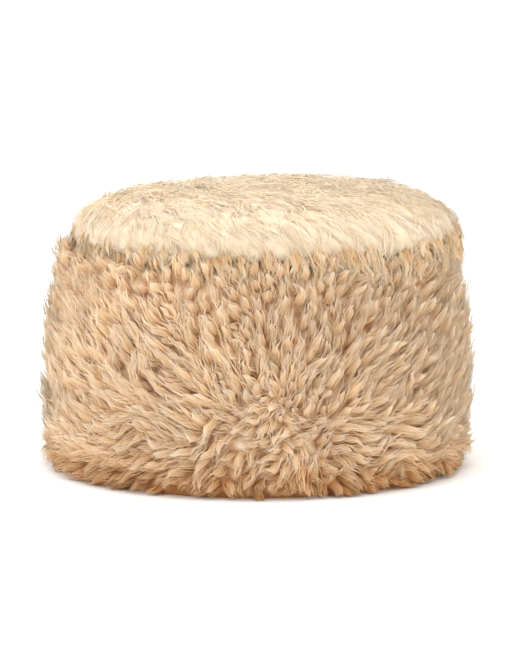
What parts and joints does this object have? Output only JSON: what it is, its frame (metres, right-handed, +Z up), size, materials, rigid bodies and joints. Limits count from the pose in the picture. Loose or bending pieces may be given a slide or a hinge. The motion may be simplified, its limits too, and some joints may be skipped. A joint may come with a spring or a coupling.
{
  "type": "shearling beanie",
  "caption": "Drum-shaped sheepskin hat worn with the wool outside: a shaggy upright band, a softly domed woolly crown, and an open hollow below for the head.",
  "frame": {"origin": "centre of the hat's footprint, on the flat ring of wool under the lower edge that it stands on", "axes": "+Z up from the head opening to the crown, +X to the wearer's side and the picture's right, +Y front to back, away from the picture's camera"},
  "size_m": [0.2262, 0.2377, 0.1497],
  "materials": {
    "sheepskin_suede": "napped suede, matte",
    "sheepskin_wool": "sand-coloured wool in loose crimped locks, matte"
  },
  "bodies": {
    "root": {"band_hide": "sheepskin_suede", "crown_hide": "sheepskin_suede", "band_fleece": "sheepskin_wool", "crown_fleece": "sheepskin_wool"}
  },
  "joints": []
}
